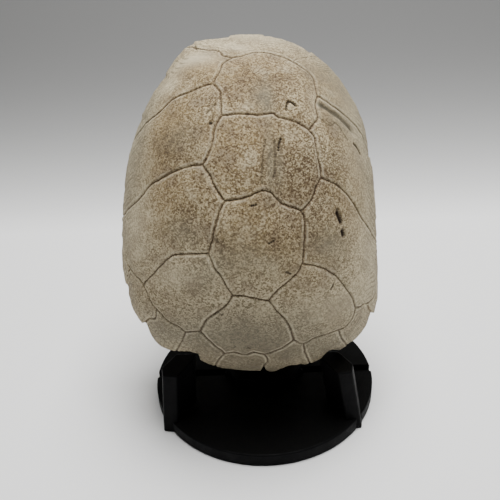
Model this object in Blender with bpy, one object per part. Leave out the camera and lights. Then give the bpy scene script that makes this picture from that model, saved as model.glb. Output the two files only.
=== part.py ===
"""Turtle shell on its display stand: a hollow domed carapace of bone, tail end down, held by two
front brackets and a forked back rest on a round base disc. Metres, +Z up, the disc's underside on
z = 0 with its centre at the origin, and the shell's back facing -Y."""

import math

import bmesh
import bpy
from mathutils import Matrix, Vector

MM = 0.001
FIT_GAP = 0.3 * MM          # clearance between pieces that touch
SEAT_GAP = 0.6 * MM         # clearance of the carapace in the seats cut for it

# Carapace, in its own frame: X to the side, Y to the head, Z up through the dome
HALF_WIDTH = 54.5 * MM
HEAD_LENGTH = 72.5 * MM     # from the middle of the dome to each end
TAIL_LENGTH = 71.3 * MM
DOME_HEIGHT = 56 * MM
PLAN_POWER = 2.45           # 2 is an ellipse, larger is squarer
DOME_POWER = 2.04
TAIL_WIDENING = 0.16        # how much wider the tail end is than the head end
WALL = 3.4 * MM
RIM_AT_BRIDGE = -6 * MM     # rim height along the sides
RIM_AT_TAIL = 9 * MM
RIM_AT_HEAD = 3 * MM
FLARE = 2 * MM              # how far the margin turns out at the right of the tail
FLARE_AT = math.radians(-45)
WORN = 4.4 * MM             # how far it is drawn in and worn at the left of the tail
WORN_AT = math.radians(-144)
CHIPS = [(-112, 8, 0.24), (-57, 7, 0.17)]   # rim broken away at a bracket: middle, half width, depth
AROUND = 88
RINGS = 18

# How the carapace stands
LEAN = math.radians(28)
TURN = math.radians(2.1)
ROLL = math.radians(-4.8)
SHELL_PLACE = Vector((-4.5, 20.2, 81.7)) * MM

# Base disc
DISC_RADIUS = 50 * MM
DISC_HEIGHT = 6 * MM
DISC_SEGMENTS = 96
DISC_EDGE = 0.6 * MM
GROOVE_WIDTH = 4.4 * MM
GROOVE_DEPTH = 3 * MM

# Front brackets: the foot's outline in plan, for the left one
BRACKET_OUTLINE = [(-43.7, -30), (-37.7, -31), (-32.2, -21), (-31.2, -16.5), (-39.7, -16.5), (-44.7, -25)]
BRACKET_HEIGHT = 31 * MM
BRACKET_EDGE = 0.5 * MM
LEFT_LEAN = math.radians(5)
RIGHT_LEAN = math.radians(10)
RIGHT_INSET = 2.9 * MM
RIGHT_FORWARD = 1.5 * MM

# Back rest: a flat fork that stands in the groove and leans back to the rim
REST_THICK = 7 * MM
REST_LEAN = math.radians(21.4)
REST_BEND = 8 * MM          # the height where the fork starts to lean
REST_TOP = 97 * MM
REST_OUTLINE = [(18, 6.3), (18, 8), (12, 14), (12, 40), (50, 86), (50, 97), (39, 97), (0, 54)]
TENON = (32 * MM, 3.8 * MM, 5 * MM)
WEDGE_HEIGHT = 5 * MM
WEDGE_OUTLINE = [(-18, -1), (-12, -11.5), (12, -11.5), (18, -1)]


def clear_scene():
    for item in list(bpy.data.objects):
        bpy.data.objects.remove(item, do_unlink=True)


def finish_material(name, colour, roughness):
    material = bpy.data.materials.new(name)
    material.use_nodes = True
    shader = material.node_tree.nodes["Principled BSDF"]
    shader.inputs["Base Color"].default_value = (*colour, 1.0)
    shader.inputs["Roughness"].default_value = roughness
    shader.inputs["Metallic"].default_value = 0.0
    return material


def add_object(name, mesh_data, material=None):
    """Turn a bmesh into a named object with its faces pointing out."""
    bmesh.ops.recalc_face_normals(mesh_data, faces=mesh_data.faces)
    mesh = bpy.data.meshes.new(name)
    mesh_data.to_mesh(mesh)
    mesh_data.free()
    made = bpy.data.objects.new(name, mesh)
    bpy.context.scene.collection.objects.link(made)
    if material:
        mesh.materials.append(material)
    return made


def hide_cutter(cutter):
    cutter.hide_render = True
    cutter.display_type = "WIRE"
    return cutter


def combine(target, other, operation):
    """Cut target by other, or join them, with the exact solver."""
    step = target.modifiers.new(operation.title(), "BOOLEAN")
    step.operation = operation
    step.solver = "EXACT"
    step.object = hide_cutter(other)


def round_edges(target, width, segments=2):
    step = target.modifiers.new("Bevel", "BEVEL")
    step.width = width
    step.segments = segments
    step.limit_method = "ANGLE"
    step.angle_limit = math.radians(40)


def smooth(target, angle=40):
    target.data.shade_smooth()
    target.data.set_sharp_from_angle(angle=math.radians(angle))


def grown_outline(points, by):
    """Move each side of a counter-clockwise outline outwards by the same distance."""
    grown = []
    for i, point in enumerate(points):
        before = (point - points[i - 1]).normalized()
        after = (points[(i + 1) % len(points)] - point).normalized()
        out_before = Vector((before.y, -before.x))
        out_after = Vector((after.y, -after.x))
        corner = (out_before + out_after) / (1 + out_before.dot(out_after))
        grown.append(point + corner * by)
    return grown


def prism(points, low, high, shift):
    """Stand an outline up from low to high; shift moves a point sideways by its height."""
    mesh_data = bmesh.new()
    bottom = [mesh_data.verts.new((p.x + shift(low), p.y, low)) for p in points]
    face = mesh_data.faces.new(bottom)
    top = bmesh.ops.extrude_face_region(mesh_data, geom=[face])["geom"]
    for vert in top:
        if isinstance(vert, bmesh.types.BMVert):
            vert.co.x += shift(high) - shift(low)
            vert.co.z = high
    return mesh_data


def rim_height(head):
    """Height of the rim line; head is how far the direction in plan points to the head, -1 to 1."""
    end = RIM_AT_HEAD if head > 0 else RIM_AT_TAIL
    return RIM_AT_BRIDGE + (end - RIM_AT_BRIDGE) * abs(head) ** 2.5


def chipped(around):
    """How far up the dome the rim is broken away in this direction, 0 for a whole rim."""
    degrees = math.degrees(math.remainder(around, 2 * math.pi))
    return sum(depth * max(1 - ((degrees - middle) / half) ** 2, 0.0) for middle, half, depth in CHIPS)


def power(value, exponent):
    return math.copysign(abs(value) ** exponent, value)


def dome_point(around, up, grow):
    """A point of the dome: around is the angle in plan, up runs from 0 at the rim to 1 on top."""
    up = 1 - (1 - up) * (1 - chipped(around))
    side, head = math.cos(around), math.sin(around)
    reach = (abs(side) ** PLAN_POWER + abs(head) ** PLAN_POWER) ** (-1 / PLAN_POWER)
    height = DOME_HEIGHT + grow
    rim = rim_height(head) - grow
    low = math.asin(power(rim / height, DOME_POWER / 2))
    rise = low + (math.pi / 2 - low) * up
    spread = max(math.cos(rise), 0.0) ** (2 / DOME_POWER)
    flare = FLARE * max(math.cos(around - FLARE_AT), 0.0) ** 4 * (1 - up) ** 3
    flare -= WORN * max(math.cos(around - WORN_AT), 0.0) ** 4 * (1 - up) ** 1.5
    half_length = HEAD_LENGTH if head > 0 else TAIL_LENGTH
    length = (half_length + grow + flare) * spread * reach * head
    width = (HALF_WIDTH + grow + flare) * spread * reach * side
    width *= 1 - TAIL_WIDENING * length / HEAD_LENGTH
    return Vector((width, length, height * power(math.sin(rise), 2 / DOME_POWER)))


def dome_surface(grow):
    """The outer face of the carapace as an open bowl, rim first; returns it and its rim."""
    mesh_data = bmesh.new()
    rings = []
    for ring in range(RINGS):
        angles = [2 * math.pi * i / AROUND for i in range(AROUND)]
        rings.append([mesh_data.verts.new(dome_point(a, ring / RINGS, grow)) for a in angles])
    for lower, upper in zip(rings, rings[1:]):
        for i in range(AROUND):
            j = (i + 1) % AROUND
            mesh_data.faces.new((lower[i], lower[j], upper[j], upper[i]))
    top = mesh_data.verts.new((0, 0, DOME_HEIGHT + grow))
    for i in range(AROUND):
        mesh_data.faces.new((rings[-1][i], rings[-1][(i + 1) % AROUND], top))
    return mesh_data, rings[0]


def stand_shell(made):
    """Tip the carapace up on its tail end and set it where it rests."""
    tip = Matrix.Rotation(math.pi / 2 - LEAN, 4, "X")
    turned = Matrix.Rotation(TURN, 4, "Z") @ tip @ Matrix.Rotation(ROLL, 4, "Z")
    made.matrix_world = Matrix.Translation(SHELL_PLACE) @ turned


def make_carapace(material):
    mesh_data, _ = dome_surface(0.0)
    carapace = add_object("carapace", mesh_data, material)
    wall = carapace.modifiers.new("Wall", "SOLIDIFY")
    wall.thickness = WALL
    wall.offset = -1
    wall.use_even_offset = True
    stand_shell(carapace)
    smooth(carapace, 50)
    return carapace


def make_shell_cutter():
    """The carapace filled in and grown by the gap, to cut its seats in the stand."""
    mesh_data, rim = dome_surface(SEAT_GAP)
    middle = mesh_data.verts.new((0, 0, RIM_AT_BRIDGE))
    for i in range(AROUND):
        mesh_data.faces.new((rim[(i + 1) % AROUND], rim[i], middle))
    cutter = add_object("seat_cutter", mesh_data)
    stand_shell(cutter)
    return cutter


def bracket_prism(name, is_right, grow, low, high, material=None):
    """One front bracket, leaning in over the disc; grow makes it a cutter for the disc's notch."""
    lean = RIGHT_LEAN if is_right else LEFT_LEAN
    points = [Vector(p) * MM for p in BRACKET_OUTLINE]
    if grow:
        points = grown_outline(points, grow)
    inward = 1.0
    if is_right:
        points = [Vector((-p.x - RIGHT_INSET, p.y - RIGHT_FORWARD)) for p in reversed(points)]
        inward = -1.0
    mesh_data = prism(points, low, high, lambda z: inward * z * math.tan(lean))
    return add_object(name, mesh_data, material)


def make_bracket(name, is_right, seat_cutter, material):
    bracket = bracket_prism(name, is_right, 0.0, 0.0, BRACKET_HEIGHT, material)
    round_edges(bracket, BRACKET_EDGE)
    combine(bracket, seat_cutter, "DIFFERENCE")
    smooth(bracket)
    return bracket


def make_disc(material):
    mesh_data = bmesh.new()
    bmesh.ops.create_cone(mesh_data, cap_ends=True, segments=DISC_SEGMENTS, radius1=DISC_RADIUS,
                          radius2=DISC_RADIUS, depth=DISC_HEIGHT)
    disc = add_object("base_disc", mesh_data, material)
    disc.location.z = DISC_HEIGHT / 2
    round_edges(disc, DISC_EDGE)
    groove_data = bmesh.new()
    bmesh.ops.create_cube(groove_data, size=1.0)
    size = Vector((2.2 * DISC_RADIUS, GROOVE_WIDTH, 2 * GROOVE_DEPTH))
    bmesh.ops.scale(groove_data, vec=size, verts=groove_data.verts)
    groove = add_object("groove_cutter", groove_data)
    groove.location.z = DISC_HEIGHT
    combine(disc, groove, "DIFFERENCE")
    for is_right in (False, True):
        name = "right_notch_cutter" if is_right else "left_notch_cutter"
        notch = bracket_prism(name, is_right, FIT_GAP, -MM, DISC_HEIGHT + MM)
        combine(disc, notch, "DIFFERENCE")
    smooth(disc)
    return disc


def make_back_rest(seat_cutter, material):
    """The fork: a stem and two arms that the rim leans on, with a wedge foot and a tenon below."""
    right = [Vector(p) * MM for p in REST_OUTLINE]
    left = [Vector((-p.x, p.y)) for p in reversed(right[:-1])]
    mesh_data = bmesh.new()
    front = [mesh_data.verts.new((p.x, -REST_THICK / 2, p.y)) for p in right + left]
    face = mesh_data.faces.new(front)
    back = bmesh.ops.extrude_face_region(mesh_data, geom=[face])["geom"]
    for vert in back:
        if isinstance(vert, bmesh.types.BMVert):
            vert.co.y = REST_THICK / 2
    for vert in mesh_data.verts:
        above = max(vert.co.z - REST_BEND, 0.0)
        vert.co.y += above * math.tan(REST_LEAN)
        vert.co.x += SHELL_PLACE.x * above / (REST_TOP - REST_BEND)
    rest = add_object("back_rest", mesh_data, material)
    low = DISC_HEIGHT + FIT_GAP
    wedge_points = [Vector(p) * MM for p in WEDGE_OUTLINE]
    wedge = add_object("wedge_foot", prism(wedge_points, low, low + WEDGE_HEIGHT, lambda z: 0.0))
    combine(rest, wedge, "UNION")
    tenon_data = bmesh.new()
    bmesh.ops.create_cube(tenon_data, size=1.0)
    bmesh.ops.scale(tenon_data, vec=Vector(TENON), verts=tenon_data.verts)
    tenon = add_object("tenon", tenon_data)
    tenon.location.z = DISC_HEIGHT - GROOVE_DEPTH + FIT_GAP + TENON[2] / 2
    combine(rest, tenon, "UNION")
    combine(rest, seat_cutter, "DIFFERENCE")
    smooth(rest)
    return rest


def build():
    clear_scene()
    bone = finish_material("bleached_bone", (0.42, 0.36, 0.28), 0.75)
    black = finish_material("black_printed_plastic", (0.012, 0.012, 0.013), 0.45)
    make_carapace(bone)
    seat_cutter = make_shell_cutter()
    make_disc(black)
    make_bracket("left_bracket", False, seat_cutter, black)
    make_bracket("right_bracket", True, seat_cutter, black)
    make_back_rest(seat_cutter, black)


build()
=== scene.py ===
import math

import bpy
import numpy as np
from mathutils import Matrix, Vector, kdtree


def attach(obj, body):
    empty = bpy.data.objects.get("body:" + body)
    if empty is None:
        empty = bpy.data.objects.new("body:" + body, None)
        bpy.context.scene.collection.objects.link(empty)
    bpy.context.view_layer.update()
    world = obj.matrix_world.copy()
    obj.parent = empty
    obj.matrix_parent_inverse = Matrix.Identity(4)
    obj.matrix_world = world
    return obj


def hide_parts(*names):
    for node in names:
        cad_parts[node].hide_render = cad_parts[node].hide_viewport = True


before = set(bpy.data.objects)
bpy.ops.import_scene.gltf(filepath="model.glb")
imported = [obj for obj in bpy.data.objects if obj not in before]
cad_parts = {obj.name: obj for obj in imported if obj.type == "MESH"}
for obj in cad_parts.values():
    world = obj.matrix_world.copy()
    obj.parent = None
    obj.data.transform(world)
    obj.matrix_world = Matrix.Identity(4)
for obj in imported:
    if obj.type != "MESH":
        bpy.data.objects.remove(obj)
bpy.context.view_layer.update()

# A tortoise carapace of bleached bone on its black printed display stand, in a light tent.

# ---------------------------------------------------------------------------------------------
# Stand: a round base disc, two leaning brackets that hold the front of the shell, and a forked
# back rest. All four are printed in black plastic and pushed together: the brackets fit the
# disc's notches and the back rest's tenon its groove. Their shapes are the plain solids' own.
# ---------------------------------------------------------------------------------------------
MM = 0.001
# Painted light and shade: faces that look up are a touch lighter and warmer, walls a touch darker and bluer
PRINT_BLACK_LIT_TOP = "#050504"     # faces that look up
PRINT_BLACK_SHADED_WALL = "#040405"    # walls
PRINT_CREST_HIGHLIGHT = "#0C0C0E"          # a painted highlight on the crests of the printed lines
CREST_HIGHLIGHT_SHARE = 0.35              # how strongly they show
LAYER_DRAWN = 0.5 * MM          # real layers are 0.2 mm high: drawn coarser, so that they show
STRAND_DRAWN = 0.9 * MM         # real strands of a top face are 0.4 mm wide: drawn coarser too
LINE_HEIGHT = 0.08 * MM
GLOSS_WOBBLE = 6.25 * MM        # size of the duller and shinier places


def linear(hex_colour):
    """An sRGB hex colour as the linear colour that a shader wants."""
    parts = [int(hex_colour[i:i + 2], 16) / 255 for i in (1, 3, 5)]
    return (*[p / 12.92 if p <= 0.04045 else ((p + 0.055) / 1.055) ** 2.4 for p in parts], 1.0)


def add_node(material, kind, inputs=None, **settings):
    """Add a node and give its outputs. An input is a value, or an output to link from."""
    made = material.node_tree.nodes.new(kind)
    for name, value in settings.items():
        setattr(made, name, value)
    for socket, value in (inputs or {}).items():
        if isinstance(value, bpy.types.NodeSocket):
            material.node_tree.links.new(value, made.inputs[socket])
        else:
            made.inputs[socket].default_value = value
    return made.outputs


# A Mix node has one set of sockets for numbers and another for colours
SHARE = 0
NUMBER_A, NUMBER_B, NUMBER_RESULT = 2, 3, 0
COLOUR_A, COLOUR_B, COLOUR_RESULT = 6, 7, 2

# Black PLA, printed in layers: nearly black with a dull sheen. The layers leave level lines on
# the walls and crossed strands on top, and the light catches both softly.
black_print = bpy.data.materials.new("black_printed_pla")
black_print.use_nodes = True
print_shader = black_print.node_tree.nodes["Principled BSDF"]
print_shader.inputs["Specular IOR Level"].default_value = 0.05
spot = add_node(black_print, "ShaderNodeTexCoord")["Object"]
facing = add_node(black_print, "ShaderNodeNewGeometry")["Normal"]
upward = add_node(black_print, "ShaderNodeSeparateXYZ", {0: facing})["Z"]      # 1 on a level face
on_top = add_node(black_print, "ShaderNodeMapRange",
                  {"Value": upward, "From Min": 0.85, "From Max": 0.97})[0]
ridges = []
for direction, spacing in (((0, 0, 1), LAYER_DRAWN),
                           ((0.707, 0.707, 0), STRAND_DRAWN),
                           ((0.707, -0.707, 0), STRAND_DRAWN)):
    waves_each_way = Vector(direction) * 2 * math.pi / spacing
    along = add_node(black_print, "ShaderNodeVectorMath", {0: spot, 1: waves_each_way},
                     operation="DOT_PRODUCT")["Value"]
    ridges.append(add_node(black_print, "ShaderNodeMath", {0: along}, operation="SINE")[0])
level_lines, strands_one_way, strands_other_way = ridges
crossed = add_node(black_print, "ShaderNodeMath", {0: strands_one_way, 1: strands_other_way},
                   operation="MULTIPLY")[0]
lines = add_node(black_print, "ShaderNodeMix",
                 {SHARE: on_top, NUMBER_A: level_lines, NUMBER_B: crossed})[NUMBER_RESULT]
# Painted light and shade: the faces that look up get the lighter, warmer black, the walls the darker, bluer
# one
black = add_node(black_print, "ShaderNodeMix",
                 {SHARE: on_top, COLOUR_A: linear(PRINT_BLACK_SHADED_WALL), COLOUR_B: linear(PRINT_BLACK_LIT_TOP)},
                 data_type="RGBA")[COLOUR_RESULT]
# Painted highlight: the crests of the printed lines are painted paler
crests = add_node(black_print, "ShaderNodeMapRange",
                  {"Value": lines, "From Min": -1, "From Max": 1, "To Min": 0, "To Max": CREST_HIGHLIGHT_SHARE})[0]
black = add_node(black_print, "ShaderNodeMix",
                 {SHARE: crests, COLOUR_A: black, COLOUR_B: linear(PRINT_CREST_HIGHLIGHT)},
                 data_type="RGBA")[COLOUR_RESULT]
cloudy = add_node(black_print, "ShaderNodeTexNoise",
                  {"Vector": spot, "Scale": 1 / GLOSS_WOBBLE, "Detail": 3})["Fac"]
dullness = add_node(black_print, "ShaderNodeMapRange",
                    {"Value": cloudy, "From Min": 0.3, "From Max": 0.7, "To Min": 0.44, "To Max": 0.62})[0]
raised = add_node(black_print, "ShaderNodeBump",
                  {"Height": lines, "Strength": 0.5, "Distance": LINE_HEIGHT})["Normal"]
for socket, source in (("Base Color", black), ("Roughness", dullness), ("Normal", raised)):
    black_print.node_tree.links.new(source, print_shader.inputs[socket])

for name in ("base_disc", "left_bracket", "right_bracket", "back_rest"):
    printed_piece = bpy.data.objects[name]
    printed_piece.data.materials.clear()
    printed_piece.data.materials.append(black_print)

# ---------------------------------------------------------------------------------------------
# Carapace: the upper shell of a small tortoise, a hollow dome of bone plates grown together,
# bleached by sun and weather. The horn scutes have fallen off and left their seams as narrow
# grooves. It leans in the stand, tail end down, and nothing but its weight holds it there.
# ---------------------------------------------------------------------------------------------
# The dome, in the shell's own frame: X to the side, Y to the head, Z up through the dome
SKIN = -0.25 * MM           # the bone lies this far inside the plain solid that it stands for
HALF_WIDTH = 54.5 * MM + SKIN
HEAD_LENGTH = 72.5 * MM + SKIN
TAIL_LENGTH = 71.3 * MM + SKIN
DOME_HEIGHT = 56 * MM + SKIN
PLAN_POWER = 2.45           # 2 is an ellipse, larger is squarer
DOME_POWER = 2.04
TAIL_WIDENING = 0.16        # how much wider the tail end is than the head end
RIM_AT_BRIDGE = -6 * MM - SKIN
RIM_AT_TAIL = 9 * MM - SKIN
RIM_AT_HEAD = 3 * MM - SKIN
RIM_CURVE = 2.5             # how late the rim climbs from the bridge to its ends
FLARE = 2 * MM              # how far the margin turns out at the right of the tail
FLARE_AT = math.radians(-45)
WORN = 4.4 * MM             # how far it is drawn in and worn at the left of the tail
WORN_AT = math.radians(-144)
WALL = 3.0 * MM
LEAN = math.radians(28)     # how it stands: leaning back, and turned and rolled a little
TURN = math.radians(2.1)
ROLL = math.radians(-4.8)
SHELL_PLACE = Vector((-4.5, 20.2, 81.7)) * MM

# The seams between the scutes, drawn on a flat map of the dome: the top of the dome is (0, 0),
# the rim is 1 from it, the head is up and the shell's right side is to the right.
V1_V2 = [
    (-.12, .52), (-.07, .54), (-.01, .57), (.06, .58), (.14, .55), (.22, .51), (.26, .48), (.31, .43),
    (.31, .34),
]
V2_V3 = [(-.13, .24), (-.04, .26), (.03, .26), (.09, .26), (.12, .24), (.16, .23), (.19, .22), (.24, .20)]
V3_V4 = [(-.09, -.02), (-.02, -.01), (.04, .01), (.07, .01), (.12, -.02), (.20, -.04)]
V4_V5 = [(-.06, -.36), (.03, -.37), (.10, -.37)]
V5_TAIL = [(-.10, -.70), (-.05, -.69), (.01, -.71), (.05, -.68), (.11, -.69)]
LEFT_SEAMS = [
    [(-.12, .52), (-.17, .53), (-.20, .56), (-.31, .57), (-.38, .63), (-.47, .69)],
    [(-.12, .52), (-.16, .48), (-.17, .43), (-.19, .37)],
    [(-.19, .37), (-.15, .33), (-.13, .24)],
    [(-.19, .37), (-.24, .35), (-.31, .33), (-.38, .32), (-.44, .29), (-.50, .28), (-.57, .27),
     (-.80, .24)],
    [(-.13, .24), (-.15, .19), (-.15, .15), (-.16, .11), (-.18, .08)],
    [(-.18, .08), (-.15, .05), (-.13, .02), (-.09, -.02)],
    [(-.18, .08), (-.23, .08), (-.31, .07), (-.38, .05), (-.45, .03), (-.54, -.02), (-.72, -.07),
     (-.83, -.08)],
    [(-.09, -.02), (-.11, -.06), (-.12, -.09), (-.14, -.15), (-.15, -.18)],
    [(-.15, -.18), (-.13, -.24), (-.11, -.27), (-.08, -.33), (-.06, -.36)],
    [(-.15, -.18), (-.20, -.18), (-.22, -.18), (-.29, -.19), (-.35, -.23), (-.40, -.27), (-.46, -.32)],
    [(-.06, -.36), (-.09, -.40), (-.16, -.45), (-.19, -.49), (-.21, -.53)],
    [(-.21, -.53), (-.17, -.60), (-.10, -.70)],
]
RIGHT_SEAMS = [
    [(.31, .34), (.29, .30), (.29, .25), (.26, .22), (.24, .20)],
    [(.31, .34), (.39, .32), (.48, .30), (.58, .28), (.68, .24), (.80, .22)],
    [(.24, .20), (.26, .18), (.27, .13), (.28, .10), (.29, .06)],
    [(.29, .06), (.27, .04), (.25, .00), (.20, -.04)],
    [(.29, .06), (.36, .05), (.44, .02), (.50, -.02), (.55, -.06), (.64, -.11), (.75, -.16), (.82, -.18)],
    [(.20, -.04), (.21, -.07), (.21, -.14), (.21, -.20)],
    [(.21, -.20), (.19, -.24), (.12, -.33), (.10, -.37)],
    [(.21, -.20), (.28, -.21), (.33, -.23), (.38, -.26), (.45, -.33), (.48, -.38)],
    [(.10, -.37), (.15, -.42), (.19, -.46), (.23, -.55)],
    [(.23, -.55), (.19, -.61), (.11, -.69)],
]
FAINT_SEAM = [(.22, .51), (.30, .56), (.40, .62), (.50, .68)]
MARGIN_SEAMS = [            # between the big scutes and the ring of small ones along the rim
    [(-.21, -.53), (-.28, -.53), (-.30, -.50), (-.35, -.47), (-.40, -.42), (-.42, -.40), (-.46, -.32)],
    [(-.46, -.32), (-.50, -.30), (-.57, -.28), (-.70, -.20), (-.83, -.08)],
    [(-.83, -.08), (-.84, .08), (-.80, .24), (-.73, .42), (-.61, .58), (-.47, .69)],
    [(-.47, .69), (-.25, .80), (.02, .84), (.27, .80), (.50, .68)],
    [(.50, .68), (.66, .52), (.76, .36), (.80, .22), (.84, .02), (.82, -.18)],
    [(.82, -.18), (.77, -.31), (.67, -.36), (.55, -.38), (.48, -.38)],
    [(.48, -.38), (.48, -.42), (.46, -.47), (.43, -.49), (.33, -.53), (.28, -.57), (.23, -.55)],
]
RIM_SEAMS = [               # between the small scutes of the rear margin
    [(-.10, -.70), (-.13, -.75), (-.17, -.87), (-.19, -1.0)],
    [(.11, -.69), (.13, -.75), (.12, -.83), (.12, -1.0)],
    [(-.28, -.53), (-.31, -.60), (-.37, -.71), (-.46, -.88)],
    [(-.40, -.42), (-.43, -.48), (-.50, -.52), (-.68, -.70)],
    [(-.57, -.28), (-.65, -.36), (-.83, -.54)],
    [(.28, -.57), (.30, -.63), (.35, -.73), (.44, -.90)],
    [(.43, -.49), (.48, -.56), (.60, -.69), (.70, -.78)],
    [(.57, -.39), (.66, -.46), (.84, -.58)],
]
MARGIN_INNER = 0.84         # where the small scutes of the sides and the head end start
MARGIN_ANGLES = [-22, -8, 6, 20, 34, 48, 62, 76, 90, 104, 118, 132, 146, 160, 174, 188, 202]


def signed_power(value, exponent):
    """A power that keeps the sign of what it is given."""
    return np.sign(value) * np.abs(value) ** exponent


def dome_surface(around, reach_out, grow):
    """Points of the dome from arrays: the angle in plan, and 0 on top to 1 at the rim."""
    side = np.cos(around)
    head = np.sin(around)
    plan = (np.abs(side) ** PLAN_POWER + np.abs(head) ** PLAN_POWER) ** (-1 / PLAN_POWER)
    height = DOME_HEIGHT + grow
    rim_at_end = np.where(head > 0, RIM_AT_HEAD, RIM_AT_TAIL)
    rim = RIM_AT_BRIDGE + (rim_at_end - RIM_AT_BRIDGE) * np.abs(head) ** RIM_CURVE
    low = np.arcsin(signed_power(rim / height, DOME_POWER / 2))
    rise = low + (math.pi / 2 - low) * (1 - reach_out)
    spread = np.maximum(np.cos(rise), 0) ** (2 / DOME_POWER)
    flare = FLARE * np.maximum(np.cos(around - FLARE_AT), 0) ** 4 * np.maximum(reach_out, 0) ** 3
    flare -= WORN * np.maximum(np.cos(around - WORN_AT), 0) ** 4 * np.maximum(reach_out, 0) ** 1.5
    length = (np.where(head > 0, HEAD_LENGTH, TAIL_LENGTH) + grow + flare) * spread * plan * head
    width = (HALF_WIDTH + grow + flare) * spread * plan * side
    width *= 1 - TAIL_WIDENING * length / HEAD_LENGTH
    return np.stack([width, length, height * signed_power(np.sin(rise), 2 / DOME_POWER)], 1)


def map_to_dome(points):
    """Points of the flat map as points of the dome."""
    return dome_surface(np.arctan2(points[:, 1], points[:, 0]), np.hypot(points[:, 0], points[:, 1]), 0.0)


def smooth_line(corners, spacing=0.004):
    """A smooth curve through given points of the flat map, as closely set points."""
    ends = [np.array(corners[0]) * 2 - corners[1]] + [np.array(c) for c in corners]
    ends.append(np.array(corners[-1]) * 2 - corners[-2])
    line = []
    for before, start, stop, after in zip(ends, ends[1:], ends[2:], ends[3:]):
        steps = max(int(np.linalg.norm(stop - start) / spacing), 2)
        t = np.linspace(0, 1, steps, endpoint=False)[:, None]
        bend = 2 * before - 5 * start + 4 * stop - after
        twist = 3 * start - before - 3 * stop + after
        line.append(0.5 * (2 * start + (stop - before) * t + bend * t ** 2 + twist * t ** 3))
    line.append(ends[-2][None])
    return np.concatenate(line)


def soft_waves(points, size, seed, count=14):
    """A smooth random surface between about -1 and 1, with waves of a given size in metres."""
    numbers = np.random.default_rng(seed)
    total = np.zeros(len(points))
    for _ in range(count):
        direction = numbers.normal(size=3)
        direction *= 2 * math.pi / size / np.linalg.norm(direction) * numbers.uniform(0.6, 1.5)
        total += np.sin(points @ direction + numbers.uniform(0, 2 * math.pi))
    return total / math.sqrt(count)


# How deep each seam is cut: 1 is a full groove
BIG_SEAM_DEPTH = 1.0
FAINT_SEAM_DEPTH = 0.3
MARGIN_SEAM_DEPTH = 0.7
SEAM_STRAYS = 0.10 * MM     # how far a seam strays from its smooth curve, and over what length
STRAY_LENGTH = 4 * MM

seams = [(corners, BIG_SEAM_DEPTH)
         for corners in [V1_V2, V2_V3, V3_V4, V4_V5, V5_TAIL] + LEFT_SEAMS + RIGHT_SEAMS]
seams += [(FAINT_SEAM, FAINT_SEAM_DEPTH)]
seams += [(corners, MARGIN_SEAM_DEPTH) for corners in MARGIN_SEAMS + RIM_SEAMS]
for degrees in MARGIN_ANGLES:
    outward = np.array((math.cos(math.radians(degrees)), math.sin(math.radians(degrees))))
    sideways = np.array((-outward[1], outward[0])) * 0.02
    seams.append(([outward * MARGIN_INNER, outward * 0.92 + sideways, outward], MARGIN_SEAM_DEPTH))
seam_lines = [smooth_line(corners) for corners, _ in seams]
seam_strength = np.concatenate([np.full(len(line), depth) for line, (_, depth) in zip(seam_lines, seams)])
seam_points = map_to_dome(np.concatenate(seam_lines))
strays = [soft_waves(seam_points, STRAY_LENGTH, seed) for seed in (1, 2, 3)]
seam_points += SEAM_STRAYS * np.stack(strays, 1)


def near_points(targets, points):
    """Distance from each point to the nearest target, and that target's number."""
    tree = kdtree.KDTree(len(targets))
    for number, target in enumerate(targets):
        tree.insert(target, number)
    tree.balance()
    found = [tree.find(point) for point in points]
    return np.array([f[2] for f in found]), np.array([f[1] for f in found])


def coords(mesh):
    """The places of a mesh's points, as an array."""
    values = np.empty(len(mesh.vertices) * 3)
    mesh.vertices.foreach_get("co", values)
    return values.reshape(-1, 3)


def flat_map(directions):
    """Place on the flat map of points of the unit half sphere that the shell is made from."""
    unit = directions / np.linalg.norm(directions, axis=1)[:, None]
    reach_out = np.arccos(np.clip(unit[:, 2], -1, 1)) / (math.pi / 2)
    around = np.arctan2(unit[:, 1], unit[:, 0])
    return around, reach_out


def half_sphere(name, level):
    bpy.ops.object.select_all(action="DESELECT")
    bpy.ops.mesh.primitive_ico_sphere_add(subdivisions=level, radius=1)
    made = bpy.context.object
    made.name = name
    bpy.ops.object.mode_set(mode="EDIT")
    bpy.ops.mesh.select_all(action="SELECT")
    bpy.ops.mesh.bisect(plane_co=(0, 0, 0), plane_no=(0, 0, 1), clear_inner=True, threshold=0.003)
    bpy.ops.mesh.select_all(action="SELECT")
    bpy.ops.mesh.remove_doubles(threshold=0.004)
    bpy.ops.object.mode_set(mode="OBJECT")
    return made


def refine_near(piece, targets, within):
    """Split the faces that lie close to a seam or a mark, so that it comes out crisp."""
    mesh = piece.data
    around, reach_out = flat_map(coords(mesh))
    distance, _ = near_points(targets, dome_surface(around, reach_out, 0.0))
    close = distance < within
    bpy.ops.object.mode_set(mode="EDIT")
    bpy.ops.mesh.select_all(action="DESELECT")
    bpy.ops.object.mode_set(mode="OBJECT")
    for face in mesh.polygons:
        face.select = any(close[v] for v in face.vertices)
    bpy.ops.object.mode_set(mode="EDIT")
    bpy.ops.mesh.select_mode(type="FACE")
    bpy.ops.mesh.subdivide(number_cuts=1)
    bpy.ops.object.mode_set(mode="OBJECT")


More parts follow.
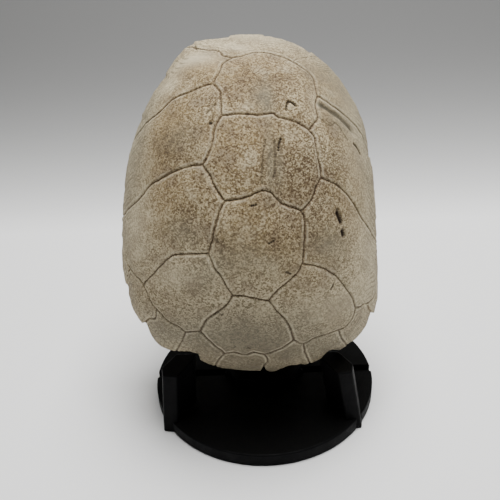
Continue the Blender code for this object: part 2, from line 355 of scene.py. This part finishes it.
# Where the bone ends: (angle in plan in degrees, how far out the rim lies on the flat map)
RIM_LINE = [
    (-180, .97), (-164, .95), (-152, .90), (-142, .86), (-136, .85), (-134, .79), (-132, .80),
    (-127, .87), (-121, .90), (-118, .87), (-116, .81), (-112, .75), (-109.2, .735), (-108.4, .78),
    (-107.7, .86), (-105, .91), (-102, .96), (-95, .98), (-84, .985), (-82.8, .90), (-81.8, .83),
    (-81, .90), (-79.5, .99), (-77.5, .92), (-75, .86), (-71, .82), (-68, .825), (-66, .87), (-63, .88),
    (-60.5, .87), (-58.5, .81), (-56, .79), (-54, .81), (-52.8, .86), (-52, .93), (-49.5, .93),
    (-48.5, .905), (-43, .90), (-37, .885), (-34, .90), (-30, .90), (-22, .90), (-10, .93), (20, .95),
    (60, .97), (85, .985), (110, .97), (135, .98), (160, .98), (180, .97),
]
# Steps in the outline, one to a bone of the rim: (angle, width in degrees, depth in mm)
RIM_STEPS = [
    (-150, 9, .8), (-134, 7, .9), (-35, -10, 1.3), (103, 12, .5), (120, 9, .7), (136, 8, .7),
    (84, -8, .4), (60, 9, .5), (17, 10, .4), (-4, -8, .4), (152, 12, .4), (176, 10, .3), (193, 7, .4),
]
# Where the real outline swells past the even dome: (angle, half width in degrees, height in mm)
SWELLS = [
    (122, 9, 2.5), (28, 15, 1.9), (50, 8, .5), (12, 10, .3), (-36, 12, 3.2), (-142, 13, 1.8),
    (-125, 7, 1.6), (165, 30, .5),
]
# Holes, slits and scars as (points on the flat map, half width in mm, depth in mm, how dark). The dark is
# painted shade for the depth of the holes and slits, and darker bone on the scars.
MARKS = [
    ([(.33, .302), (.385, .290), (.44, .275), (.49, .258)], 1.15, .2, .50),
    ([(.151, .268), (.154, .283), (.163, .298), (.178, .294), (.192, .282)], .42, 1.0, 1.0),
    ([(.106, .128), (.110, .145), (.118, .163)], .46, .8, 1.0),
    ([(.50, .205), (.53, .195), (.555, .181)], .46, .8, 1.0),
    ([(.058, .165), (.050, .12), (.044, .07), (.042, .03)], .48, .35, .50),
    ([(.094, .155), (.094, .12), (.090, .08), (.086, .05)], .55, .45, .55),
    ([(.372, -.042), (.380, -.056), (.388, -.070)], 1.0, 1.3, 1.0),
    ([(.368, -.030), (.371, -.036)], .36, .5, .8),
    ([(.395, -.100), (.398, -.112)], .95, 1.1, 1.0),
    ([(.082, -.146), (.095, -.134)], .42, .5, 1.0),
    ([(.010, -.035), (.024, -.028)], .42, .45, 1.0),
    ([(-.171, .207), (-.165, .208)], .48, .5, 1.0),
    ([(.155, -.236), (.168, -.240)], .50, .45, .8),
    ([(.340, -.290), (.350, -.274)], .44, .45, .8),
    ([(-.19, .24), (-.175, .262), (-.16, .28)], .36, .4, .8),
    ([(-.12, -.135), (-.115, -.142)], .55, .3, .5),
    ([(.02, -.645), (.03, -.655)], .34, .3, .6),
    ([(-.06, -.655), (-.045, -.64)], .34, .3, .5),
    ([(-.135, -.435), (-.12, -.43), (-.108, -.443), (-.10, -.438)], .30, .35, .7),
    ([(-.128, -.455), (-.118, -.462)], .40, .3, .6),
    ([(-.235, -.395), (-.225, -.41)], .28, .2, .4),
    ([(.44, .24), (.452, .232)], .3, .3, .5),
    ([(.30, .25), (.33, .235), (.36, .235), (.385, .248), (.42, .225), (.45, .205)], .34, .4, .45),
]
# The long healed scar beside the second scute, a shallow grey trough
SCAR = [(.31, .305), (.34, .30), (.385, .29), (.44, .275), (.51, .25)]
# Broad soft stains, and where growth lines show: (place on the flat map, half width and half
# height on it, strength)
BROWN_STAINS = [
    (.05, .42, .22, .12, .3), (-.37, .15, .09, .06, .8), (-.30, .12, .12, .07, .4),
    (.20, .02, .08, .10, .65), (.30, .0, .10, .08, .6), (.08, .27, .05, .05, .6),
    (.12, .40, .10, .08, .5), (-.02, .42, .08, .08, .45), (.16, .13, .12, .06, .5),
    (.10, .06, .14, .05, .6), (-.21, -.31, .05, .035, .7), (.12, -.12, .10, .08, .35),
    (-.30, -.02, .12, .06, .4), (-.24, -.08, .08, .05, .45), (-.41, -.19, .035, .035, .5),
    (.37, .12, .06, .09, .45), (.40, -.08, .06, .08, .35), (.27, -.09, .05, .10, .45),
    (-.05, -.12, .10, .08, .25), (.44, -.46, .04, .02, .3), (-.13, .45, .05, .06, .25),
]
GROWTH_PATCHES = [
    (0, .66, .4, .12, 1), (-.40, .45, .14, .10, .8), (-.30, .30, .14, .04, .6),
    (.36, -.42, .16, .12, .7), (.50, .45, .16, .2, .8),
]
OCHRE_PATCHES = [
    (-.36, .20, .13, .14, 1.0), (-.30, .46, .14, .07, .9), (.02, .42, .26, .14, .9),
    (-.02, .12, .2, .12, .45), (.42, .44, .16, .14, 1.0), (.36, .24, .08, .08, .5),
    (-.02, -.12, .14, .12, .5), (-.30, -.04, .14, .08, .4), (.36, .0, .10, .10, .4),
    (.5, .05, .12, .2, .4),
]
PALE_PATCHES = [
    (-.33, .50, .13, .045, 1.0), (-.45, .40, .08, .05, .6), (.0, .76, .40, .13, .45),
    (.55, .25, .14, .20, .35), (-.29, -.27, .12, .06, .3), (.38, -.36, .12, .08, .4),
    (-.70, .10, .10, .40, .3), (.60, -.25, .12, .20, .5), (-.53, -.12, .10, .14, .35),
    (.28, .30, .03, .05, .3), (-.10, .60, .10, .03, .6),
]
# Grey weathering, and painted shade: the patch over the right front scutes darkens where the light falls
# too strongly
GREY_AND_SHADE_PATCHES = [
    (.44, .48, .18, .16, .9), (.03, .33, .05, .06, .5), (-.62, .25, .12, .30, .8),
    (.62, .30, .10, .25, .6), (.44, .27, .10, .05, .8), (.07, .32, .03, .07, .7),
    (.075, .10, .02, .10, .7), (.11, .08, .015, .08, .5), (.33, -.14, .09, .05, .8),
    (-.02, -.22, .16, .08, .6), (.0, -.55, .30, .14, .8), (-.35, -.55, .20, .12, .6),
    (.42, -.60, .20, .12, .6), (-.30, .17, .10, .05, .5), (-.16, -.26, .08, .08, .4),
    (.25, -.42, .08, .06, .4), (-.25, -.11, .08, .04, .6),
]


def select_open_edge():
    """In edit mode, select the edge where the shell's surface stops, and nothing else."""
    bpy.ops.object.mode_set(mode="EDIT")
    bpy.ops.mesh.select_mode(type="EDGE")
    bpy.ops.mesh.select_all(action="DESELECT")
    bpy.ops.mesh.select_non_manifold(extend=False, use_wire=False, use_boundary=True,
                                     use_multi_face=False, use_non_contiguous=False, use_verts=False)


# The outside, with finer faces at the seams and marks, and a wall folded in at its edge. The
# attribute wall says how far through the bone a point lies: 0 outside, 1 on the lining.
MARK_SPACING = 0.006        # of the points along a mark, on the flat map
REFINED_WITHIN = (1.9 * MM, 0.8 * MM)   # faces this near a seam or a mark are split, once for each
WALL_STEPS = (0.12, 0.5, 0.88)          # rings of the broken edge, from the outside to the lining
carapace = half_sphere("bone_carapace", 7)
mark_points = [map_to_dome(smooth_line(corners, MARK_SPACING)) for corners, _, _, _ in MARKS]
fine_places = np.concatenate([seam_points] + mark_points)
for within in REFINED_WITHIN:
    refine_near(carapace, fine_places, within)
carapace.data.attributes.new("wall", "FLOAT", "POINT")
for share in WALL_STEPS:
    select_open_edge()
    bpy.ops.mesh.extrude_edges_move()
    bpy.ops.object.mode_set(mode="OBJECT")
    wall_values = carapace.data.attributes["wall"].data
    for vert in carapace.data.vertices:
        if vert.select:
            wall_values[vert.index].value = share

lining = half_sphere("carapace_lining", 6)
lining.data.attributes.new("wall", "FLOAT", "POINT")
for item in lining.data.attributes["wall"].data:
    item.value = 1.0
bpy.ops.object.mode_set(mode="EDIT")
bpy.ops.mesh.select_all(action="SELECT")
bpy.ops.mesh.flip_normals()
bpy.ops.object.mode_set(mode="OBJECT")
bpy.ops.object.select_all(action="DESELECT")
carapace.select_set(True)
lining.select_set(True)
bpy.context.view_layer.objects.active = carapace
bpy.ops.object.join()


def distance_to_line(points, corners):
    """Distance in mm along the dome from each point to a drawn line."""
    nearest = np.full(len(points), np.inf)
    for target in map_to_dome(smooth_line(corners, MARK_SPACING)):
        nearest = np.minimum(nearest, np.linalg.norm(points - target, axis=1))
    return nearest / MM


def patches(u, v, places):
    """Soft round patches on the flat map: their strengths added up, and never more than 1."""
    total = np.zeros(len(u))
    for place_u, place_v, half_u, half_v, strength in places:
        total += strength * np.exp(-((u - place_u) / half_u) ** 2 - ((v - place_v) / half_v) ** 2)
    return np.minimum(total, 1.0)


def turned(around, degrees):
    """Degrees round the plan from a given angle, -180 to 180."""
    return np.degrees(np.angle(np.exp(1j * (around - math.radians(degrees)))))


def fade(value, start, stop):
    """0 before start, 1 past stop, and a soft change between."""
    share = np.clip((value - start) / (stop - start), 0, 1)
    return share * share * (3 - 2 * share)


# Where each point lies on the flat map, once the rim is cut back to its broken line
RIM_TRIM = 0.004            # cut back this much further all round
RIM_BAND = 0.4              # the part of the map that the cutting back draws in
RIM_RAGGED = [(0.12, 0.004, 5), (0.05, 0.005, 6)]   # length and depth of the ripples, and their seed
RIM_ROUNDING = 0.016        # how far the middle of the broken edge stands out
mesh = carapace.data
around, reach_out = flat_map(coords(mesh))
wall = np.empty(len(mesh.vertices))
mesh.attributes["wall"].data.foreach_get("value", wall)
on_lining = wall == 1
on_outside = wall < 0.5
plan_ring = np.stack([np.cos(around), np.sin(around), np.zeros(len(wall))], 1)
line_angles, line_reach = np.array(RIM_LINE).T
rim_reach = np.interp(np.degrees(around), line_angles, line_reach) - RIM_TRIM
for length, depth, seed in RIM_RAGGED:
    rim_reach += depth * soft_waves(plan_ring, length, seed)
drawn_in = np.clip((reach_out - (1 - RIM_BAND)) / RIM_BAND, 0, 1) ** 2
placed_out = reach_out - (1 - rim_reach) * drawn_in + RIM_ROUNDING * wall * (1 - wall)
placed_out = np.minimum(placed_out, 0.999)
outer = dome_surface(around, placed_out, 0.0)
inner = dome_surface(around, placed_out, -WALL)
normal = outer - inner
normal /= np.linalg.norm(normal, axis=1)[:, None]
u = placed_out * np.cos(around)
v = placed_out * np.sin(around)

# The outside's relief, in mm. At a seam: the groove, the lip beside it, and the bed of each
# scute, which rises a little towards its middle.
GROOVE_DEPTH = 0.50
GROOVE_HALF_WIDTH = 0.32
LIP_HEIGHT = 0.07
LIP_FROM_SEAM = 1.1
LIP_HALF_WIDTH = 0.45
BED_RISE = 0.45
BED_REACH = 4.5
BED_SINK = 0.50
seam_mm, nearest_seam = near_points(seam_points, outer)
seam_mm /= MM
strength = seam_strength[nearest_seam]
relief = -GROOVE_DEPTH * strength * np.exp(-(seam_mm / GROOVE_HALF_WIDTH) ** 2)
relief += LIP_HEIGHT * strength * np.exp(-((seam_mm - LIP_FROM_SEAM) / LIP_HALF_WIDTH) ** 2)
relief += BED_RISE * (1 - np.exp(-seam_mm / BED_REACH)) - BED_SINK

# Everywhere: uneven growth, as (length of the waves in mm, height in mm, seed)
UNEVEN = [(26, 0.16, 11), (8, 0.07, 12)]
for length, rise, seed in UNEVEN:
    relief += rise * soft_waves(outer, length * MM, seed)
# Towards the rim: a rougher skin, and the growth rings that the horn pressed into the bone
RIM_ROUGHNESS = 0.11
RING_HEIGHT = 0.05
RING_SPACING = math.tau / 2.4   # about 2.6 mm
RING_FADE = 6               # mm from the seam over which they die away
relief += RIM_ROUGHNESS * soft_waves(outer, 4.5 * MM, 13, 24) * fade(placed_out, 0.55, 0.75)
rings = np.sin(math.tau * seam_mm / RING_SPACING) * np.exp(-seam_mm / RING_FADE)
relief += RING_HEIGHT * rings * fade(placed_out, 0.45, 0.7)
# The keel on the third scute and the hollows before and beside it: (place on the flat map, half
# width and half height on it, height in mm)
KEEL = [(.075, .10, .035, .16, .35), (.07, .285, .03, .035, -.45), (.115, .09, .018, .10, -.25)]
SCAR_DEPTH = 0.9
SCAR_HALF_WIDTH = 1.2
relief += patches(u, v, KEEL)
scar_mm = distance_to_line(outer, SCAR)
relief -= SCAR_DEPTH * np.exp(-(scar_mm / SCAR_HALF_WIDTH) ** 2)
# Painted shade in the holes and slits, and darker bone on the scars
dark = np.zeros(len(u))
for corners, half_width, depth, darkness in MARKS:
    mark_mm = distance_to_line(outer, corners)
    relief -= depth * np.exp(-(mark_mm / half_width) ** 2)
    dark = np.maximum(dark, darkness * np.exp(-(mark_mm / (half_width * 1.05)) ** 4))
STEP_FACE = 0.7             # degrees over which a step drops
for degrees, width, depth in RIM_STEPS:
    away = turned(around, degrees) * np.sign(width)
    ledge = np.where(away >= 0, np.clip(1 - away / abs(width), 0, 1), np.clip(1 + away / STEP_FACE, 0, 1))
    relief -= depth * ledge * fade(placed_out, 0.60, 0.72)

# The lining's relief, in mm: the ridge of spine bones down the middle, the rib ends that run out
# from it, and the fine joints between the bone plates
MAP_MM = 85                 # one unit of the flat map, along the bone
SPINE_HALF_WIDTH = 0.035    # on the flat map, as the next seven are
RIB_HALF_WIDTH = 0.024
RIB_SPACING = 0.165
RIB_SHIFT = 0.01
RIB_CURVE = 0.10
SPINE_JOINT = 0.075
RIM_JOINT = 0.80
RIB_JOINTS_END = 0.75
SPINE_HEIGHT = 2.6
RIB_HEIGHT = 1.5
LINING_UNEVEN = 0.3
JOINT_DEPTH = 0.4
JOINT_HALF_WIDTH = 0.8
NO_SEAM = 9                 # a distance far from any seam
spine = np.exp(-(np.abs(u) / SPINE_HALF_WIDTH) ** 2.5) * (1 - fade(np.abs(v), 0.72, 0.86))
ribs = np.zeros(len(u))
for rib in range(-4, 5):
    rib_line = rib * RIB_SPACING + RIB_SHIFT + RIB_CURVE * np.sign(rib) * u * u
    rib_shape = np.exp(-((v - rib_line) / RIB_HALF_WIDTH) ** 2) * (1 - fade(np.abs(u), 0.45, 0.8))
    ribs = np.maximum(ribs, rib_shape)
plates_along = v / RIB_SPACING + 0.5
cross_joint = np.abs(plates_along - np.round(plates_along)) * RIB_SPACING * MAP_MM
cross_joint = np.where(np.abs(u) < RIB_JOINTS_END, cross_joint, NO_SEAM)
joint_mm = np.minimum(cross_joint, np.abs(np.abs(u) - SPINE_JOINT) * MAP_MM)
joint_mm = np.minimum(joint_mm, np.abs(placed_out - RIM_JOINT) * MAP_MM)
lining_relief = SPINE_HEIGHT * spine + RIB_HEIGHT * ribs
lining_relief -= LINING_UNEVEN * soft_waves(outer, 14 * MM, 21)
lining_relief -= JOINT_DEPTH * np.exp(-(joint_mm / JOINT_HALF_WIDTH) ** 2)
lining_relief *= on_lining * (1 - fade(placed_out, 0.85, 0.93))

# The bone is set out on the dome: swollen towards the rim, and raised or sunk by its relief
swell = sum(rise * np.exp(-(turned(around, degrees) / width) ** 2) for degrees, width, rise in SWELLS)
raised_mm = swell * fade(placed_out, 0.42, 0.78) + relief * (1 - wall) - lining_relief
on_dome = outer * (1 - wall)[:, None] + inner * wall[:, None] + normal * MM * raised_mm[:, None]
mesh.vertices.foreach_set("co", on_dome.ravel())

# What the material reads at each point: the distance to a seam, and where each stain lies. The
# speckle is strongest over the middle scutes, and painted shade darkens the tail and the depth of the
# dome's hollow.
speckle = 1 - fade(np.hypot((u - 0.03) / 0.46, (v - 0.16) / 0.44), 0.55, 1.35)
seam_drawn = seam_mm / strength ** 0.5                  # a shallow seam looks narrower
seam_drawn[wall > 0.05] = NO_SEAM
seam_drawn[on_lining] = 0.12 + 0.7 * joint_mm[on_lining]
fresh_edge = fade(placed_out, 0.97, 1.0)
scar_grey = 1.6 * np.exp(-(scar_mm / 1.3) ** 2)
# Painted shade: the tail end is darkened, and the lining darkens towards the deep middle of the hollow,
# less on the raised spine and ribs
tail_painted_shade = fade(-v, 0.28, 0.66) * np.exp(-((u - 0.05) / 0.5) ** 2)
lining_painted_shade = 0.9 * (1 - fade(placed_out, 0.30, 0.95)) * (1 - 0.6 * np.maximum(spine, ribs))
masks = {
    "seam_mm": seam_drawn,
    "speckle": 0.85 * np.clip(speckle, 0, 1) * on_outside + 0.15,
    "brown": patches(u, v, BROWN_STAINS) * on_outside,
    "pale": np.maximum(patches(u, v, PALE_PATCHES), fresh_edge) * on_outside + 0.7 * (wall > 0.3),
    "grey_and_shade": np.maximum(patches(u, v, GREY_AND_SHADE_PATCHES), scar_grey) * on_outside,
    "ochre": patches(u, v, OCHRE_PATCHES) * on_outside,
    "dark": dark * on_outside,
    "painted_shade": np.where(on_lining, lining_painted_shade, tail_painted_shade * on_outside),
    "growth": np.maximum(patches(u, v, GROWTH_PATCHES), fade(placed_out, 0.50, 0.66)) * on_outside,
}
for name, values in masks.items():
    mesh.attributes.new(name, "FLOAT", "POINT").data.foreach_set("value", values.astype(np.float32))

# The wall is closed against the lining, and the whole shell leans back in the stand
select_open_edge()
bpy.ops.mesh.bridge_edge_loops()
bpy.ops.mesh.select_all(action="SELECT")
bpy.ops.mesh.quads_convert_to_tris()
bpy.ops.mesh.normals_make_consistent(inside=False)
bpy.ops.object.mode_set(mode="OBJECT")
bpy.ops.object.shade_smooth()
leaning = Matrix.Rotation(TURN, 4, "Z") @ Matrix.Rotation(math.pi / 2 - LEAN, 4, "X")
mesh.transform(Matrix.Translation(SHELL_PLACE) @ leaning @ Matrix.Rotation(ROLL, 4, "Z"))

# Weathered bone: matt and a little chalky, so light spreads softly and hardly shines. Its open
# pores hold brown soil as a fine speckle, it is cream where it is fresh, and greyer where it has
# weathered longest. Painted shade darkens the tail, the depth of the hollow and the right front
# scutes. Real pores are about 0.3 mm: the granules are drawn 0.5 mm, so that they show.
bone = bpy.data.materials.new("weathered_bone")
bone.use_nodes = True
bone_shader = bone.node_tree.nodes["Principled BSDF"]
bone_shader.inputs["Roughness"].default_value = 0.78
bone_shader.inputs["IOR"].default_value = 1.5
bone_shader.inputs["Specular IOR Level"].default_value = 0.3
spot = add_node(bone, "ShaderNodeTexCoord")["Object"]
patterns = {name: add_node(bone, "ShaderNodeAttribute", attribute_name=name)["Fac"] for name in masks}

# Granules and the clouds that break them up: size in mm of both, and the clouds' detail
for name, granule_mm, cloud_mm, detail in (("grain", 0.50, 0.65, 2), ("fleck", 0.52, 0.70, 3)):
    granules = add_node(bone, "ShaderNodeTexVoronoi",
                        {"Vector": spot, "Scale": 1 / (granule_mm * MM)})["Color"]
    granule_tone = add_node(bone, "ShaderNodeSeparateColor", {0: granules})[0]
    clouds = add_node(bone, "ShaderNodeTexNoise", {"Vector": spot, "Scale": 1 / (cloud_mm * MM),
                                                   "Detail": detail, "Roughness": 0.7})["Fac"]
    both = add_node(bone, "ShaderNodeMath", {0: granule_tone, 1: clouds}, operation="ADD")[0]
    patterns[name] = add_node(bone, "ShaderNodeMath", {0: both, 1: 0.5}, operation="MULTIPLY")[0]
# Stains that drift over whole scutes: size in mm, detail and roughness
CLOUDS = [("blotch", 9, 5, 0.65), ("broad", 26, 3, 0.5), ("coarse", 5, 2, 0.5)]
for name, size_mm, detail, roughness in CLOUDS:
    patterns[name] = add_node(bone, "ShaderNodeTexNoise", {"Vector": spot, "Scale": 1 / (size_mm * MM),
                                                           "Detail": detail, "Roughness": roughness})["Fac"]
# Growth lines run along the seams, about 2 mm apart, and wander with the stains
phase = 0.0
for name, amount in (("seam_mm", 3.0), ("blotch", 7.0), ("broad", 8.0)):
    phase = add_node(bone, "ShaderNodeMath", {0: patterns[name], 1: amount, 2: phase},
                     operation="MULTIPLY_ADD")[0]
patterns["growth_wave"] = add_node(bone, "ShaderNodeMath", {0: phase}, operation="SINE")[0]
# Patterns that are the product of two or three others, each read from start to stop as low to high
PRODUCTS = [
    ("density", [("speckle", 0, 1, 0.20, 1), ("blotch", 0.36, 0.60, 0.55, 1)]),
    ("growth_lines", [("growth_wave", 0.1, 1, 0, 1), ("growth", 0, 1, 0, 1),
                      ("coarse", 0.42, 0.60, 0.10, 1)]),
    ("lip", [("seam_mm", 0.50, 0.80, 0, 1), ("seam_mm", 1.6, 0.9, 0, 1)]),
]
for name, factors in PRODUCTS:
    product = 1.0
    for pattern, start, stop, low, high in factors:
        factor = add_node(bone, "ShaderNodeMapRange", {"Value": patterns[pattern], "From Min": start,
                                                       "From Max": stop, "To Min": low, "To Max": high})[0]
        product = add_node(bone, "ShaderNodeMath", {0: product, 1: factor}, operation="MULTIPLY")[0]
    patterns[name] = product

# The bone's colour, laid on in thin coats: colour, pattern, where on it the coat starts and is
# full, how much of the coat there is at each, and the mask that holds it back
BONE_SHADE = "#6F6246"
COATS = [
    ("#C9BB9C", "grain", 0.31, 0.60, 0, 1, None),               # plain bleached bone
    ("#D2C29B", "grain", 0.50, 0.62, 0, 0.75, "speckle"),       # cream tops of the granules
    ("#9A7E4B", "blotch", 0.35, 0.60, 0.40, 0.68, "ochre"),
    ("#8F774C", "broad", 0.42, 0.62, 0, 0.50, "density"),
    ("#8C7E68", "blotch", 0.50, 0.66, 0, 0.65, None),           # dull stains
    ("#D2C4A2", "blotch", 0.46, 0.32, 0, 0.45, None),           # paler places between them
    ("#675237", "fleck", 0.46, 0.62, 0, 0.80, "density"),       # soil in the pores
    ("#46341F", "fleck", 0.62, 0.70, 0, 0.65, "density"),
    ("#4D3A26", "fleck", 0.38, 0.60, 0.216, 0.72, "brown"),
    # grey weathering, and painted shade over the right front scutes
    ("#7D7866", "grain", 0.35, 0.65, 0.75, 0.45, "grey_and_shade"),
    # painted shade at the tail and deep in the dome's hollow
    ("#524D41", "painted_shade", 0, 1, 0, 0.68, None),
    ("#D6CAAD", "grain", 0.35, 0.60, 0.80, 0.60, "pale"),
    ("#6B624E", "growth_lines", 0, 1, 0, 0.62, None),
    ("#D6CAAE", "coarse", 0.42, 0.60, 0.08, 0.42, "lip"),       # the rubbed lips of the seams
    ("#3F2C1D", "seam_mm", 0.42, 0.12, 0, 0.92, None),          # soil in the seams
    # painted shade in the holes and slits, which are cut only as shallow dips
    ("#2A1D12", "dark", 0, 1, 0, 1, None),                      # holes and slits
]
colour = linear(BONE_SHADE)
for coat, pattern, start, stop, low, high, mask in COATS:
    amount = add_node(bone, "ShaderNodeMapRange", {"Value": patterns[pattern], "From Min": start,
                                                   "From Max": stop, "To Min": low, "To Max": high})[0]
    if mask:
        amount = add_node(bone, "ShaderNodeMath", {0: amount, 1: patterns[mask]}, operation="MULTIPLY")[0]
    colour = add_node(bone, "ShaderNodeMix", {SHARE: amount, COLOUR_A: colour, COLOUR_B: linear(coat)},
                      data_type="RGBA")[COLOUR_RESULT]

# The pores and growth lines are felt too, but are too fine for the mesh
PORE_DEPTH = 0.35 * MM
height = patterns["grain"]
for name in ("fleck", "growth_lines"):
    height = add_node(bone, "ShaderNodeMath", {0: patterns[name], 1: -0.5, 2: height},
                      operation="MULTIPLY_ADD")[0]
pitted = add_node(bone, "ShaderNodeBump",
                  {"Height": height, "Strength": 0.65, "Distance": PORE_DEPTH})["Normal"]
for socket, source in (("Base Color", colour), ("Normal", pitted)):
    bone.node_tree.links.new(source, bone_shader.inputs[socket])
mesh.materials.append(bone)
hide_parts("carapace")
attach(carapace, "root")

# ---------------------------------------------------------------------------------------------
# Light tent: an open-topped box of pale paper, its lower edges rolled so that the floor runs up
# into the walls, with a wide soft lamp overhead. The camera looks down into it.
# ---------------------------------------------------------------------------------------------
TENT_SIZE = (1.9, 1.72, 1.6)
TENT_MIDDLE = (0, -0.39, 0.8)
TENT_ROLL = 0.30            # radius of its rolled lower edges
PAPER_WALL = "#6B6B6A"      # shaded where the paper stands up
PAPER_FLOOR = "#F7F7F6"
PAPER_FADE = 2.2            # how early the floor's white gives way on the roll
CAMERA_PLACE = (0, -0.205, 0.1813)
CAMERA_DOWN = math.radians(28.3)
CAMERA_TURN = math.radians(1.1)
CAMERA_ROLL = math.radians(-2.6)
LENS = 40.3                 # mm
FILM_WIDTH = 36             # mm
LAMP_POWER = 20
LAMP_SIZE = 0.6
LAMP_PLACE = (0.07, 0.10, 1.0)
TENT_GLOW = 0.03            # light that the paper passes on from all sides

bpy.ops.object.select_all(action="DESELECT")
bpy.ops.mesh.primitive_cube_add(size=1, location=TENT_MIDDLE, scale=TENT_SIZE)
bpy.ops.object.transform_apply(location=True, rotation=False, scale=True)
tent = bpy.context.object
tent.name = "paper_tent"
bpy.ops.object.mode_set(mode="EDIT")
bpy.ops.mesh.select_mode(type="FACE")
bpy.ops.mesh.select_all(action="DESELECT")
bpy.ops.object.mode_set(mode="OBJECT")
for face in tent.data.polygons:
    face.select = face.normal.z > 0.5
bpy.ops.object.mode_set(mode="EDIT")
bpy.ops.mesh.delete(type="FACE")
bpy.ops.mesh.select_mode(type="EDGE")
bpy.ops.mesh.select_all(action="SELECT")
bpy.ops.object.mode_set(mode="OBJECT")
for edge in tent.data.edges:
    edge.select = min(tent.data.vertices[v].co.z for v in edge.vertices) < 0.1
bpy.ops.object.mode_set(mode="EDIT")
bpy.ops.mesh.bevel(offset=TENT_ROLL, segments=24, profile=0.5)
bpy.ops.mesh.select_all(action="SELECT")
bpy.ops.mesh.normals_make_consistent(inside=True)
bpy.ops.object.mode_set(mode="OBJECT")
bpy.ops.object.shade_smooth()

# Background paper: matt, white on the floor and in its own shade where it rolls up, so that the
# floor is bright and the wall behind falls off to grey
paper = bpy.data.materials.new("pale_paper")
paper.use_nodes = True
paper_shader = paper.node_tree.nodes["Principled BSDF"]
paper_shader.inputs["Roughness"].default_value = 0.9
paper_normal = add_node(paper, "ShaderNodeNewGeometry")["Normal"]
paper_level = add_node(paper, "ShaderNodeSeparateXYZ", {0: paper_normal})["Z"]
paper_tilt = add_node(paper, "ShaderNodeMath", {0: paper_level}, operation="ARCCOSINE")[0]
paper_slope = add_node(paper, "ShaderNodeMath", {0: paper_tilt}, operation="SINE")[0]
paper_flat = add_node(paper, "ShaderNodeMapRange",
                      {"Value": paper_slope, "From Min": 0.85, "From Max": 0.0})[0]
floor_share = add_node(paper, "ShaderNodeMath", {0: paper_flat, 1: PAPER_FADE}, operation="POWER")[0]
paper_colour = add_node(paper, "ShaderNodeMix",
                        {SHARE: floor_share, COLOUR_A: linear(PAPER_WALL), COLOUR_B: linear(PAPER_FLOOR)},
                        data_type="RGBA")[COLOUR_RESULT]
paper.node_tree.links.new(paper_colour, paper_shader.inputs["Base Color"])
tent.data.materials.append(paper)

camera_data = bpy.data.cameras.new("camera")
camera_data.lens = LENS
camera_data.sensor_width = FILM_WIDTH
camera = bpy.data.objects.new("camera", camera_data)
bpy.context.scene.collection.objects.link(camera)
look = Matrix.Rotation(CAMERA_TURN, 4, "Z") @ Matrix.Rotation(math.pi / 2 - CAMERA_DOWN, 4, "X")
camera.matrix_world = Matrix.Translation(CAMERA_PLACE) @ look @ Matrix.Rotation(CAMERA_ROLL, 4, "Z")
bpy.context.scene.camera = camera

world = bpy.data.worlds.new("tent_glow")
world.use_nodes = True
world.node_tree.nodes["Background"].inputs["Color"].default_value = linear("#FFFFFF")
world.node_tree.nodes["Background"].inputs["Strength"].default_value = TENT_GLOW
bpy.context.scene.world = world
lamp_data = bpy.data.lights.new("softbox", "AREA")
lamp_data.energy = LAMP_POWER
lamp_data.size = LAMP_SIZE
lamp = bpy.data.objects.new("softbox", lamp_data)
lamp.location = LAMP_PLACE
bpy.context.scene.collection.objects.link(lamp)
